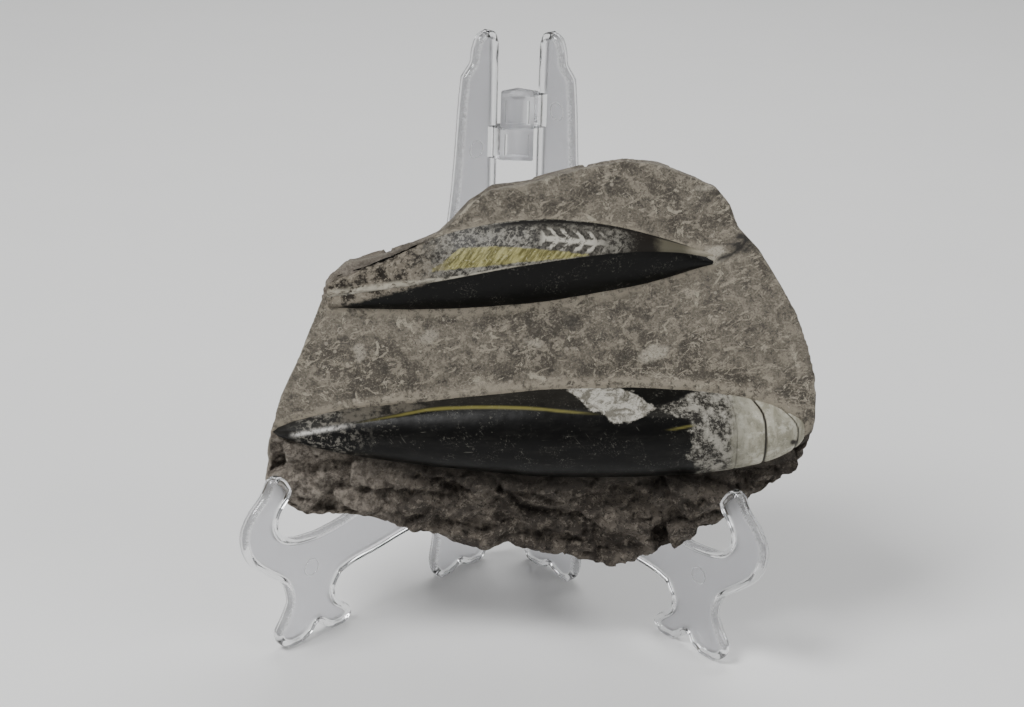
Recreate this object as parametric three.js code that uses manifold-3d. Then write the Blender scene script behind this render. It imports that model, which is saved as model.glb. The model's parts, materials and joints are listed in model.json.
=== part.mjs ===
// Orthoceras plaque on a folding display easel.
//
// A slab of dark limestone holds two fossil nautiloid shells, ground and polished proud of the rock.
// It leans on a clear plastic easel: two mirrored plates that open like a book on an upright hinge.
//
// Units are millimetres, +Z is up and -Y is the side that faces the viewer.

import * as THREE from 'three';
import { ConvexGeometry } from 'three/addons/geometries/ConvexGeometry.js';
import { mergeVertices } from 'three/addons/utils/BufferGeometryUtils.js';
import Module from 'manifold-3d';

const wasm = await Module();
wasm.setup();

// ---- driving dimensions -----------------------------------------------------------------------

const gap = 0.3;                 // clearance kept between neighbouring pieces

// easel
const openAngle = THREE.MathUtils.degToRad(86);   // between the two plates
const plateThickness = 3.0;
const hingeOffset = 4.1;         // hinge axis to a plate's inner face
const hingeSetback = 2.4;        // hinge axis behind a plate's rear edge, along the plate
const lowerKnuckle = { bottom: 117.5, top: 125.8 };
const upperKnuckle = { bottom: 126.1, top: 134.8 };
const knuckleHalfWidth = 4.3;
const knuckleFront = 3.6;        // from the hinge axis to a knuckle's flat front
const knuckleShoulder = 1.2;     // from the hinge axis back to where its sides turn inward
const knucklePeak = 4.4;         // from the hinge axis back to the ridge behind it
const webLength = 3.6;           // how far a knuckle's web reaches along its plate
const webDepth = 0.8;            // how deep the web roots in the plate
const webRamp = 2.6;             // slope from the web up to the knuckle
const windowWidth = 5.4;         // shallow recess in the front of each knuckle
const windowDepth = 1.0;
const pegRadius = 1.6;
const pegTop = 133.2;

// slab, in its own frame: x to the right, y up the slab, z out of its front face
const slabLean = THREE.MathUtils.degToRad(15);
const slabThickness = 16;        // at its foot; the back flares away towards the top
const slabFlare = 3;
const slabFoot = { back: -35.5, height: 33.0 };   // where the slab frame's origin stands

// lower fossil: a spindle along a nearly level axis, in the slab's frame
const lowerApex = new THREE.Vector3(-59.0, 21.6, 16.0);
const lowerEnd = new THREE.Vector3(75.4, 26.4, 13.6);

// ---- solids -----------------------------------------------------------------------------------

function toSolid(geometry) {
  const bare = geometry.clone();
  bare.deleteAttribute('normal');
  bare.deleteAttribute('uv');
  const merged = mergeVertices(bare, 1e-5);
  const vertProperties = new Float32Array(merged.attributes.position.array);
  const triVerts = new Uint32Array(merged.index.array);
  return new wasm.Manifold(new wasm.Mesh({ numProp: 3, vertProperties, triVerts }));
}

function toGeometry(solid) {
  const mesh = solid.getMesh();
  const geometry = new THREE.BufferGeometry();
  geometry.setAttribute('position', new THREE.BufferAttribute(new Float32Array(mesh.vertProperties), 3));
  geometry.setIndex(new THREE.BufferAttribute(new Uint32Array(mesh.triVerts), 1));
  geometry.computeVertexNormals();
  return geometry;
}

// Takes away everything of a solid that lies on the outer side of a plane.
function breakOff(solid, point, outward) {
  const size = 400;
  const waste = new THREE.BoxGeometry(size, size, size);
  waste.translate(0, 0, size / 2);
  const direction = new THREE.Vector3(...outward).normalize();
  waste.applyQuaternion(new THREE.Quaternion().setFromUnitVectors(new THREE.Vector3(0, 0, 1), direction));
  waste.translate(...point);
  return solid.subtract(toSolid(waste));
}

// ---- easel ------------------------------------------------------------------------------------

// One plate's outline. x runs forward from the rear edge, y is height above the table.
function plateOutline() {
  const shape = new THREE.Shape();
  const curveThrough = (...points) => shape.splineThru(points.map(([x, y]) => new THREE.Vector2(x, y)));

  // rear foot: a small toe behind and a large toe in front, each with a flat to stand on
  shape.moveTo(0, 5);
  curveThrough([0.5, 2.2], [1.6, 0.6], [3.2, 0]);
  shape.lineTo(6.4, 0);
  curveThrough([8.6, 0.7], [10.4, 1.8], [12.4, 0.8], [14.8, 0]);
  shape.lineTo(17.8, 0);
  curveThrough([20.0, 2.2], [21.0, 6.0], [20.4, 9.8], [19.8, 13.2]);

  // arch between the feet
  curveThrough([21.6, 16.8], [26.6, 18.9], [34.0, 18.4], [42.0, 17.3], [50.0, 16.6], [54.6, 15.4]);

  // front foot: a small toe behind and a large toe in front
  curveThrough([56.7, 12.0], [55.8, 8.3], [52.6, 5.6], [50.9, 2.6], [53.4, 0]);
  shape.lineTo(57.6, 0);
  curveThrough([60.4, 1.7], [62.8, 3.7], [64.8, 1.6], [68.0, 0]);
  shape.lineTo(72.2, 0);
  curveThrough([75.2, 1.9], [76.4, 5.2], [74.0, 8.9], [71.9, 12.8]);

  // front edge of the arm, up to the hook's tip
  curveThrough([73.6, 18.6], [79.4, 23.4], [84.4, 28.2], [86.8, 33.6], [86.5, 38.6], [83.6, 42.8]);
  curveThrough([80.0, 45.9], [78.0, 49.2], [75.4, 50.0], [72.9, 48.3], [71.0, 45.2]);

  // inside of the hook and the ledge that carries the slab
  curveThrough([71.8, 42.9], [74.8, 39.8], [75.6, 36.0], [73.6, 32.8], [69.4, 30.8], [62.0, 30.0]);
  curveThrough([55.0, 30.6], [50.6, 31.5], [48.2, 32.1], [44.6, 34.9], [38.0, 43.2], [28.6, 60.0]);

  // upright and its rounded top
  curveThrough([20.6, 82.0], [15.8, 104.0], [14.0, 119.0], [13.0, 132.0], [12.0, 140.4]);
  curveThrough([10.4, 142.0], [8.9, 143.6], [8.4, 146.8], [6.8, 150.0], [3.9, 151.2]);
  curveThrough([1.2, 150.0], [0, 146.6]);
  shape.closePath();
  return shape;
}

// A plate in its own frame: x forward, y up, z across, with the inner face at z = 0.
// outer is the sign of z on the side of the plate's outer face.
function plate(outer) {
  const geometry = new THREE.ExtrudeGeometry(plateOutline(), {
    depth: plateThickness,
    bevelEnabled: false,
    curveSegments: 3,
  });
  geometry.translate(0, 0, outer > 0 ? 0 : -plateThickness);
  return toSolid(geometry);
}

// A knuckle round the hinge axis, flat in front and ridged behind when the easel stands open,
// with a window sunk in its front, and the web that ties it to the plate's inner face.
function knuckle(outer, { bottom, top }) {
  const height = top - bottom;
  const turn = -outer * (Math.PI - openAngle) / 2;

  const outline = new THREE.Shape();
  outline.moveTo(-knuckleHalfWidth, -knuckleFront);
  outline.lineTo(knuckleHalfWidth, -knuckleFront);
  outline.lineTo(knuckleHalfWidth, knuckleShoulder);
  outline.lineTo(0, knucklePeak);
  outline.lineTo(-knuckleHalfWidth, knuckleShoulder);
  outline.closePath();
  const body = new THREE.ExtrudeGeometry(outline, { depth: height, bevelEnabled: false });
  const window = new THREE.BoxGeometry(windowWidth, 2 * windowDepth, height / 2);
  window.translate(0, -knuckleFront, height / 2);
  for (const geometry of [body, window]) {
    geometry.rotateZ(outer > 0 ? Math.PI : 0);
    geometry.rotateX(-Math.PI / 2);
    geometry.rotateY(turn);
    geometry.translate(-hingeSetback, bottom, -outer * hingeOffset);
  }

  const web = new THREE.Shape();
  web.moveTo(webDepth / 2, -webDepth);
  web.lineTo(webLength, -webDepth);
  web.lineTo(webLength - webRamp / 2, hingeOffset);
  web.lineTo(-hingeSetback, hingeOffset);
  web.lineTo(-hingeSetback - webRamp, hingeOffset - webRamp);
  web.closePath();
  const block = new THREE.ExtrudeGeometry(web, { depth: height, bevelEnabled: false });
  block.rotateX(-outer * Math.PI / 2);
  block.translate(0, outer > 0 ? bottom : top, 0);
  return toSolid(body).add(toSolid(block)).subtract(toSolid(window));
}

// An upright rod on the hinge axis.
function hingeRod(outer, radius, bottom, top) {
  const rod = new THREE.CylinderGeometry(radius, radius, top - bottom, 16);
  rod.translate(-hingeSetback, (top + bottom) / 2, -outer * hingeOffset);
  return toSolid(rod);
}

// The left half carries the lower knuckle with the hinge peg moulded on it.
// The right half carries the upper knuckle, bored from below to drop over the peg.
const leftSolid = plate(1)
  .add(knuckle(1, lowerKnuckle))
  .add(hingeRod(1, pegRadius, lowerKnuckle.bottom, pegTop));
const rightSolid = plate(-1)
  .add(knuckle(-1, upperKnuckle))
  .subtract(hingeRod(-1, pegRadius + gap, lowerKnuckle.top, pegTop + gap));

// Where the inner faces start, either side of the hinge, so that both plates share its axis.
const plateSpread = hingeOffset * Math.cos(openAngle / 2) + hingeSetback * Math.sin(openAngle / 2);

function easelHalf(name, outer, solid) {
  const plastic = new THREE.MeshStandardMaterial({
    name: 'clear_plastic',
    color: 0xd9dee3,
    roughness: 0.15,
    metalness: 0,
    transparent: true,
    opacity: 0.45,
  });
  const mesh = new THREE.Mesh(toGeometry(solid), plastic);
  mesh.name = name;
  mesh.rotation.x = Math.PI / 2;

  const half = new THREE.Group();
  half.rotation.z = -Math.PI / 2 - outer * openAngle / 2;
  half.position.x = -outer * plateSpread;
  half.add(mesh);
  return half;
}

// ---- lower fossil -----------------------------------------------------------------------------

// A spindle turned about its own axis: pointed at the apex, blunt at the living chamber.
// grow makes the same shape larger on every side, for the socket that it sits in.
function lowerShell(grow) {
  const length = lowerApex.distanceTo(lowerEnd);
  const profile = new THREE.SplineCurve([
    new THREE.Vector2(0.5, 0),
    new THREE.Vector2(2.8, 6),
    new THREE.Vector2(5.9, 19),
    new THREE.Vector2(9.2, 42),
    new THREE.Vector2(11.6, 66),
    new THREE.Vector2(12.0, 90),
    new THREE.Vector2(10.7, 112),
    new THREE.Vector2(8.4, 124),
    new THREE.Vector2(5.2, 131),
    new THREE.Vector2(1.6, length),
  ]);
  const outline = profile.getPoints(27).map(({ x, y }) => new THREE.Vector2(x + grow, y));
  outline[0].y -= grow;
  outline.at(-1).y += grow;
  outline.unshift(new THREE.Vector2(0, outline[0].y));
  outline.push(new THREE.Vector2(0, outline.at(-1).y));

  const geometry = new THREE.LatheGeometry(outline, 28);
  const axis = lowerEnd.clone().sub(lowerApex).normalize();
  geometry.applyQuaternion(new THREE.Quaternion().setFromUnitVectors(new THREE.Vector3(0, 1, 0), axis));
  geometry.translate(lowerApex.x, lowerApex.y, lowerApex.z);
  return toSolid(geometry);
}

// ---- upper fossil -----------------------------------------------------------------------------

const cubeCorners = [-1, 1].flatMap((x) => [-1, 1].flatMap((y) => [-1, 1].map((z) => [x, y, z])));

// Two polished facets that meet in a sharp ridge, over a belly that is buried in the rock.
// The hull of its edge curves, each point widened to a small cube when the shape is grown.
function upperShell(grow) {
  const edge = (steps, ...points) => {
    const curve = new THREE.CatmullRomCurve3(points.map((point) => new THREE.Vector3(...point)));
    return curve.getPoints(steps);
  };
  const ridge = edge(16, [-46.0, 56.2, 17.2], [-22, 60.6, 20.8], [2.4, 66.0, 22.8],
    [25.5, 69.8, 22.2], [40.0, 70.2, 19.8], [50.0, 68.4, 16.6]);
  const lowerRim = edge(12, [-46.4, 54.0, 15.2], [-27, 53.3, 14.8], [-4, 54.4, 14.6],
    [20, 58.2, 14.8], [37, 62.6, 15.0], [49.0, 66.8, 15.4]);
  const upperRim = edge(12, [-45.8, 57.0, 15.4], [-34, 62.8, 15.2], [-18, 70.0, 15.2],
    [-4, 75.2, 15.4], [10, 77.0, 15.4], [26, 75.7, 15.4], [40, 72.4, 15.4], [49.4, 69.4, 15.6]);
  const belly = edge(6, [-34, 58.2, 11.6], [0, 65.2, 8.4], [38, 68.6, 11.8]);

  const points = [...ridge, ...lowerRim, ...upperRim, ...belly].flatMap((point) => (
    grow > 0
      ? cubeCorners.map((corner) => new THREE.Vector3(...corner).multiplyScalar(grow).add(point))
      : [point]
  ));
  return toSolid(new ConvexGeometry(points));
}

// ---- slab -------------------------------------------------------------------------------------

// The broken outline of the slab, once round from its lower left corner.
const slabOutline = [
  [-61.4, 8.0], [-58.6, 3.6], [-54.5, 0.6], [-46, -0.8], [-38, -0.4], [-32, -0.9], [-24, -2.6],
  [-14, -4.4], [-5, -6.4], [1, -5.2], [8, -7.4], [15, -7.6], [22, -9.9], [27, -10.6], [35, -9.4],
  [44, -7.2], [51, -4.4], [56, 1.6], [62.6, 7.2], [68.3, 9.6], [72.6, 14.0], [76.0, 20.7],
  [77.0, 30.0], [76.7, 38.8], [74.4, 47.0], [71.0, 55.4], [66.6, 62.6], [61.0, 71.0],
  [55.6, 76.4], [53.2, 82.2], [49.6, 86.2], [42.3, 89.1], [35.4, 91.4], [27.0, 92.2], [16, 89.7],
  [3, 85.7], [-6, 83.9], [-11.4, 80.2], [-16.0, 75.0], [-19.4, 71.6], [-26, 68.8], [-34.6, 66.3],
  [-41.6, 64.8], [-45.0, 61.4], [-47.6, 54.3], [-52.6, 41.0], [-57.4, 29.8], [-60.0, 20.0],
];

// Broken facets: a point on each and the way that it faces, both in the slab's frame.
const slabBreaks = [
  // back
  [[0, 0, 0], [0, -0.024, -1]],
  // rough front below the lower fossil
  [[0, 12.5, 16], [0.02, -0.26, 1]],
  [[-40, 13.5, 16], [-0.05, -0.17, 1]],
  [[58, 15.5, 16], [0.35, -0.55, 1]],
  // underside, sloping up to the rear edge that rests on the ledges
  [[38, -0.7, 0], [0.25, -1, -0.62]],
  [[44, -3.6, 5], [0.26, -1, -0.25]],
  [[0, -5.0, 0], [0, -1, -0.45]],
  // rear edges
  [[0, 88, -2], [0.10, 0.60, -1]],
  [[-40, 58, -1], [-0.62, 0.45, -1]],
  [[-58, 20, 0], [-0.80, -0.10, -1]],
  [[70, 40, 0], [0.75, 0.08, -1]],
  [[58, 70, 0], [0.60, 0.50, -1]],
  [[62, 10, 0], [0.50, -0.50, -1]],
];

function slabBlank() {
  const shape = new THREE.Shape(slabOutline.map(([x, y]) => new THREE.Vector2(x, y)));
  const depth = slabThickness + slabFlare;
  const block = new THREE.ExtrudeGeometry(shape, { depth, bevelEnabled: false });
  block.translate(0, 0, -slabFlare);
  return slabBreaks.reduce((solid, [point, outward]) => breakOff(solid, point, outward), toSolid(block));
}

// ---- the scene --------------------------------------------------------------------------------

function stonePiece(name, solid, color, roughness) {
  const material = new THREE.MeshStandardMaterial({ name, color, roughness, metalness: 0 });
  const mesh = new THREE.Mesh(toGeometry(solid), material);
  mesh.name = name;
  return mesh;
}

// The slab stands on the ledges, leans back against the right-hand upright and holds both shells.
const matrixSolid = slabBlank().subtract(lowerShell(gap)).subtract(upperShell(gap));
const slab = new THREE.Group();
slab.rotation.x = Math.PI / 2 - slabLean;
slab.position.set(0, slabFoot.back, slabFoot.height);
slab.add(stonePiece('limestone_matrix', matrixSolid, 0x6b6258, 0.75));
slab.add(stonePiece('orthoceras_lower', lowerShell(0), 0x1c1b1a, 0.15));
slab.add(stonePiece('orthoceras_upper', upperShell(0), 0x2a2927, 0.2));

const display = new THREE.Group();
display.add(slab);
display.add(easelHalf('easel_left_half', 1, leftSolid));
display.add(easelHalf('easel_right_half', -1, rightSolid));

// The origin is the middle of the object's box, on the table.
const extent = new THREE.Box3().setFromObject(display, true);
const centre = extent.getCenter(new THREE.Vector3());
display.position.set(-centre.x, -centre.y, -extent.min.z);

export default display;
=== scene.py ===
# Orthoceras plaque on a clear plastic display easel.
#
# A broken slab of dark limestone holds two fossil nautiloid shells, ground and polished proud of
# the rock. It leans on a folding easel: two mirrored plates that open like a book on one hinge.

import json
from math import acos, atan2, cos, exp, pi, radians, sin

import bmesh
import bpy
from mathutils import Matrix, Vector, noise
from mathutils.bvhtree import BVHTree


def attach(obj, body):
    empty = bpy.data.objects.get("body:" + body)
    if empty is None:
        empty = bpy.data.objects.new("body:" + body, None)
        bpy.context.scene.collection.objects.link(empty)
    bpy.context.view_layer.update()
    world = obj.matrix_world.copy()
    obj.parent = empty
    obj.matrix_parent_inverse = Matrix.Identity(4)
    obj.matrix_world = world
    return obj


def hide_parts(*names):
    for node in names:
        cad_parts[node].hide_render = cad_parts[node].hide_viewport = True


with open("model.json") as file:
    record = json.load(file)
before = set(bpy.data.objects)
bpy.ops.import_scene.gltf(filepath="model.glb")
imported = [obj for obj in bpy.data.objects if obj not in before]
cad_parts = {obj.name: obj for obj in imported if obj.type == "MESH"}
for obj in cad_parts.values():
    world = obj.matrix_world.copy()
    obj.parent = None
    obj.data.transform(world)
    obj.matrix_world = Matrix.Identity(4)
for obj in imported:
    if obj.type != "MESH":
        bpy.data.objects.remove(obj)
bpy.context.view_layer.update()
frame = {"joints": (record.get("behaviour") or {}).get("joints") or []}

# ---- camera -------------------------------------------------------------------------------------
# Looks down on the display by about 23 degrees, from straight ahead and slightly tilted.

hinge = Vector(frame["joints"][0]["pos_m"])
easel = Vector((hinge.x, hinge.y + 0.001041, 0))     # where both plates' inner faces would meet

azimuth, elevation, roll = radians(0.31), radians(23.314), radians(1.6)
back = Vector((sin(azimuth) * cos(elevation), -cos(azimuth) * cos(elevation), sin(elevation)))
level = Vector((cos(azimuth), sin(azimuth), 0))
upright = back.cross(level)
aim = easel + Vector((0.00047, -0.030, 0.0747))

camera = bpy.data.objects.new("camera", bpy.data.cameras.new("camera"))
bpy.context.collection.objects.link(camera)
camera.matrix_world = Matrix.Translation(aim + back * 0.6) @ Matrix((
    level * cos(roll) + upright * sin(roll),
    upright * cos(roll) - level * sin(roll),
    back,
)).transposed().to_4x4()
camera.data.lens = 83.16
bpy.context.scene.camera = camera

# ---- lights and floor ---------------------------------------------------------------------------
# A pale table top and three large soft boxes: one high on the left, a weaker one on the right,
# and a long strip behind that edges the plastic and gives the polished shells a sheen.


def soft_box(name, place, size, power):
    light = bpy.data.lights.new(name, "AREA")
    light.shape = "RECTANGLE"
    light.size, light.size_y = size
    light.energy = power
    lamp = bpy.data.objects.new(name, light)
    lamp.matrix_world = (
        Matrix.Translation(place)
        @ (Vector(place) - Vector((0, 0, 0.07))).to_track_quat("Z", "Y").to_matrix().to_4x4()
    )
    bpy.context.collection.objects.link(lamp)


soft_box("key_light", (-0.52, -0.36, 0.92), (0.42, 0.42), 11.0)
soft_box("fill_light", (0.75, -0.35, 0.55), (0.5, 0.5), 2.6)
soft_box("back_light", (0.15, 0.6, 0.75), (0.8, 0.3), 4.0)

world = bpy.data.worlds.new("studio")
bpy.context.scene.world = world
world.use_nodes = True
world.node_tree.nodes["Background"].inputs["Color"].default_value = (0.97, 0.98, 1.0, 1)
world.node_tree.nodes["Background"].inputs["Strength"].default_value = 0.26


class Paint:
    """A material under construction, with coordinates in millimetres about a chosen origin."""

    def __init__(self, name, origin=(0, 0, 0), turn=(0, 0, 0)):
        self.material = bpy.data.materials.new(name)
        self.material.use_nodes = True
        self.tree = self.material.node_tree
        self.shader = self.tree.nodes["Principled BSDF"]
        place = self.add("ShaderNodeTexCoord")["Object"]
        self.place = self.add("ShaderNodeMapping", {
            "Vector": place, "Location": origin, "Rotation": turn, "Scale": (0.001,) * 3,
        }, vector_type="TEXTURE")["Vector"]

    def add(self, kind, inputs=None, **settings):
        node = self.tree.nodes.new(kind)
        for key, value in settings.items():
            setattr(node, key, value)
        for key, value in (inputs or {}).items():
            self.plug(node.inputs[key], value)
        return node.outputs

    def plug(self, socket, value):
        if isinstance(value, bpy.types.NodeSocket):
            self.tree.links.new(value, socket)
        else:
            socket.default_value = value

    def stretched(self, size, turn=0):
        """Coordinates for a pattern whose unit measures this many millimetres along each axis."""
        return self.add("ShaderNodeMapping", {
            "Vector": self.place, "Rotation": (0, 0, radians(turn)), "Scale": size,
        }, vector_type="TEXTURE")["Vector"]

    def noise(self, scale, detail=4, rough=0.55, place=None, distort=0):
        return self.add("ShaderNodeTexNoise", {
            "Vector": place or self.place, "Scale": scale, "Detail": detail, "Roughness": rough,
            "Distortion": distort,
        })["Fac"]

    def cells(self, scale):
        return self.add("ShaderNodeTexVoronoi", {"Vector": self.place, "Scale": scale})["Distance"]

    def mark(self, name):
        return self.add("ShaderNodeAttribute", attribute_name=name)["Fac"]

    def math(self, operation, first, second=0.0):
        return self.add("ShaderNodeMath", {0: first, 1: second}, operation=operation)["Value"]

    def plus(self, first, second):
        return self.math("ADD", first, second)

    def times(self, first, second):
        return self.math("MULTIPLY", first, second)

    def larger(self, first, second):
        return self.math("MAXIMUM", first, second)

    def away(self, value, middle):
        """How far a value is from the middle one, either way."""
        return self.math("ABSOLUTE", self.math("SUBTRACT", value, middle))

    def across(self):
        """The x coordinate in millimetres."""
        return self.add("ShaderNodeSeparateXYZ", {0: self.place})[0]

    def step(self, value, low, high, to=(0.0, 1.0)):
        return self.add("ShaderNodeMapRange", {
            "Value": value, "From Min": low, "From Max": high, "To Min": to[0], "To Max": to[1],
        }, interpolation_type="SMOOTHSTEP")["Result"]

    def mix(self, amount, first, second):
        node = self.tree.nodes.new("ShaderNodeMix")
        node.data_type = "RGBA"
        for socket, value in ((0, amount), (6, first), (7, second)):
            self.plug(node.inputs[socket], (*value, 1) if isinstance(value, tuple) else value)
        return node.outputs[2]

    def laid(self, under, colour, value, low, high, amount=1.0):
        """The colour laid over another as a value goes from low to high."""
        return self.mix(self.step(value, low, high, (0.0, amount)), under, colour)

    def finish(self, **sockets):
        for key, value in sockets.items():
            socket = self.shader.inputs[key.replace("_", " ").title().replace("Ior", "IOR")]
            self.plug(socket, (*value, 1) if isinstance(value, tuple) else value)
        return self.material

    def bump(self, height, distance, strength=1.0, under=None):
        inputs = {"Height": height, "Distance": distance * 0.001, "Strength": strength}
        if under:
            inputs["Normal"] = under
        return self.add("ShaderNodeBump", inputs)["Normal"]


def piece(name, bm, *materials, crease=180):
    """A finished object from a closed bmesh, smooth except where faces turn by more than crease."""
    bm.normal_update()
    bmesh.ops.recalc_face_normals(bm, faces=bm.faces)
    mesh = bpy.data.meshes.new(name)
    bm.to_mesh(mesh)
    bm.free()
    for material in materials:
        mesh.materials.append(material)
    mesh.shade_smooth()
    mesh.set_sharp_from_angle(angle=radians(crease))
    made = bpy.data.objects.new(name, mesh)
    bpy.context.collection.objects.link(made)
    return made


paint = Paint("table_top")
floor_material = paint.finish(
    base_color=paint.mix(paint.noise(0.02), (0.83, 0.83, 0.82), (0.87, 0.87, 0.86)),
    roughness=0.6,
)
bm = bmesh.new()
bmesh.ops.create_grid(bm, x_segments=8, y_segments=8, size=4)
floor = piece("floor", bm, floor_material)

# ---- lower shell --------------------------------------------------------------------------------
# A straight nautiloid shell replaced by black calcite, a spindle ground smooth and polished.
# An olive growth line follows its crest; white calcite fills its middle and its living chamber.

# the slab's own frame in millimetres: x to the right, y up the slab, z out of its front face
slab_tilt = radians(75)
slab_frame = (
    Matrix.Translation(easel + Vector((0, -0.0355, 0.033)))
    @ Matrix.Rotation(slab_tilt, 4, "X")
    @ Matrix.Scale(0.001, 4)
)
slab_origin = slab_frame.translation
slab_turn = (slab_tilt, 0, 0)
climb = 0.146      # how far up the slab the line of sight passes for each millimetre out of it


def along(points, x):
    """The height at x of a smooth line through (x, height) points."""
    x = min(max(x, points[0][0]), points[-1][0])
    i = next(k for k in range(len(points) - 1) if x <= points[k + 1][0])
    (x0, y0), (x1, y1) = points[i], points[i + 1]
    (xa, ya), (xb, yb) = points[max(i - 1, 0)], points[min(i + 2, len(points) - 1)]
    m0, m1 = (y1 - ya) / (x1 - xa) * (x1 - x0), (yb - y0) / (xb - x0) * (x1 - x0)
    f = (x - x0) / (x1 - x0)
    return (
        (2 * f ** 3 - 3 * f ** 2 + 1) * y0 + (f ** 3 - 2 * f ** 2 + f) * m0
        + (3 * f ** 2 - 2 * f ** 3) * y1 + (f ** 3 - f ** 2) * m1
    )


def ramp(x, low, high):
    f = min(max((x - low) / (high - low), 0), 1)
    return f * f * (3 - 2 * f)


def marks(bm, names):
    return {name: bm.verts.layers.float.new(name) for name in names}


lower_start, lower_end = Vector((-59.0, 21.6, 16.0)), Vector((75.4, 26.4, 13.6))
lower_axis = (lower_end - lower_start).normalized()
lower_up = (Vector((0, 0, 1)) - lower_axis * lower_axis.z).normalized()
lower_side = lower_up.cross(lower_axis)
lower_length = (lower_end - lower_start).length
lower_radius = [
    (0, 0.5), (6, 2.8), (19, 5.9), (42, 9.2), (66, 11.6), (90, 12.0), (112, 10.7), (124, 8.4),
    (131, 5.2), (lower_length, 1.6),
]
crest_angle = [(0, 20), (20, 27), (50, 46), (66, 38), (82, 34), (98, 30), (140, 30)]
crest_line = [(-59, 21.4), (-40, 25.4), (-26.6, 28.3), (-19.3, 29.9), (-6.9, 30.9), (5.4, 31.0),
              (20.2, 30.2), (38, 29.6), (60, 29.0)]
patch_top = [(12.6, 36.0), (20, 37.6), (26.6, 37.2), (30.6, 35.8), (33.6, 33.9), (37.0, 31.6)]
patch_foot = [(12.6, 36.6), (16.4, 34.6), (19.7, 31.5), (22.7, 30.3), (25.7, 28.4), (28.9, 28.3),
              (32.5, 29.4), (37.0, 32.4)]
wedge_foot = [(25.5, 37.0), (32.5, 33.9), (36.3, 32.4), (41.2, 33.6), (47.5, 37.0)]
cloud_start = [(12, 48.5), (18, 47.6), (19.7, 45.4), (24.3, 46.0), (29.2, 44.4), (31.1, 38.6),
               (33.0, 38.4), (35.0, 42.0), (38, 46.0)]
sutures = [
    (0.20, [(14, 57.0), (18, 57.0), (28, 56.5), (33, 55.5), (37, 53.7)]),
    (0.42, [(14, 63.6), (18, 64.2), (31, 63.3), (37, 59.2)]),
    (0.30, [(20, 70.6), (24, 72.3), (29, 71.8), (34, 67.0)]),
]

bm = bmesh.new()
bmesh.ops.create_uvsphere(bm, u_segments=168, v_segments=300, radius=1)
shade = marks(bm, ["crest", "stripe", "crest_highlight", "patch", "wedge", "cloud", "chamber", "groove"])
for v in bm.verts:
    x = lower_length * (1 - acos(min(max(v.co.z, -1), 1)) / pi)
    angle = atan2(v.co.y, v.co.x)
    radius = along(lower_radius, x) * min(1, 30 * (v.co.x ** 2 + v.co.y ** 2) ** 0.5)
    ridge = radians(along(crest_angle, x))
    across = angle - ridge
    if 0 < across < radians(52):
        radius *= 0.15 + 0.85 * cos(radians(26)) / cos(across - radians(26))
    centre = lower_start + lower_axis * x
    outward = lower_up * cos(angle) + lower_side * sin(angle)
    co = centre + outward * radius
    y = co.y - climb * (co.z - 25)
    groove = sum(
        depth * exp(-((co.x - along(line, y)) / 0.34) ** 2) for depth, line in sutures
    ) if co.x > 50 else 0
    patch = min(along(patch_top, co.x) - y, y - along(patch_foot, co.x))
    patch = patch if 12.6 < co.x < 37 else -9
    wedge = y - along(wedge_foot, co.x) if 25.5 < co.x < 47.5 else -9
    radius -= groove + 0.12 * noise.noise(co * 0.11) + 0.04 * noise.noise(co * 0.5)
    radius -= 0.10 * ramp(patch, -0.3, 0.8) * (0.6 + noise.noise(co * 0.9))
    pit = 0.4 * exp(-((co.x - 71.2) ** 2 + (y - 24.2) ** 2) / 0.7)
    radius -= pit
    v.co = centre + outward * radius
    v[shade["crest"]] = y - along(crest_line, co.x)
    second = y - along([(38, 26.6), (41.5, 27.1), (51, 29.3), (54, 29.8)], co.x)
    v[shade["stripe"]] = (
        exp(-(v[shade["crest"]] / 0.45) ** 2) * ramp(co.x, -46, -18) * (1 - ramp(co.x, 10, 28))
        + 0.8 * exp(-(second / 0.4) ** 2) * ramp(co.x, 37, 42) * (1 - ramp(co.x, 48, 54))
    )
    # painted highlight: a bright streak along the crest near the apex, where the key light glints
    v[shade["crest_highlight"]] = (
        exp(-((v[shade["crest"]] + 0.3) / 0.55) ** 2)
        * ramp(co.x, -55, -52) * (1 - ramp(co.x, -46, -37))
    )
    v[shade["patch"]] = patch
    v[shade["wedge"]] = wedge
    v[shade["cloud"]] = co.x - along(cloud_start, y)
    v[shade["chamber"]] = co.x - 56.2
    v[shade["groove"]] = groove + pit
bm.normal_update()
bmesh.ops.recalc_face_normals(bm, faces=bm.faces)
lower_tree = BVHTree.FromBMesh(bm)
bm.transform(slab_frame)

paint = Paint("polished_lower_shell", slab_origin, slab_turn)
fine = paint.noise(1.1, 6, 0.7)
broad = paint.noise(0.10, 5, 0.6, distort=0.6)
wisps = paint.noise(1.0, 6, 0.65, paint.stretched((10, 2.6, 2.6), 4))
edge_noise = paint.times(paint.math("SUBTRACT", paint.noise(0.55, 6, 0.7), 0.5), 5.0)
black = paint.mix(paint.step(wisps, 0.45, 0.75), (0.0022, 0.0021, 0.0019), (0.009, 0.0085, 0.0075))
black = paint.laid(black, (0.030, 0.029, 0.025), fine, 0.66, 0.74)
# painted light: above the crest the black is painted a little lighter, as if lit from above
colour = paint.mix(
    paint.times(paint.step(paint.mark("crest"), -0.2, 0.5), paint.step(broad, 0.2, 0.7, (0.35, 1))),
    black, (0.016, 0.015, 0.013))
reach = paint.across()
apex = paint.times(paint.step(paint.plus(reach, edge_noise), -30, -46), paint.step(reach, -56, -50))
colour = paint.mix(
    paint.times(apex, paint.step(paint.noise(0.7, 7, 0.75), 0.50, 0.58)),
    colour, (0.16, 0.15, 0.13))
smear = paint.times(
    paint.step(reach, -50, -38), paint.step(paint.plus(reach, edge_noise), -16, -26))
smear = paint.times(smear, paint.step(paint.mark("crest"), 0.2, 0.8))
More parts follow.
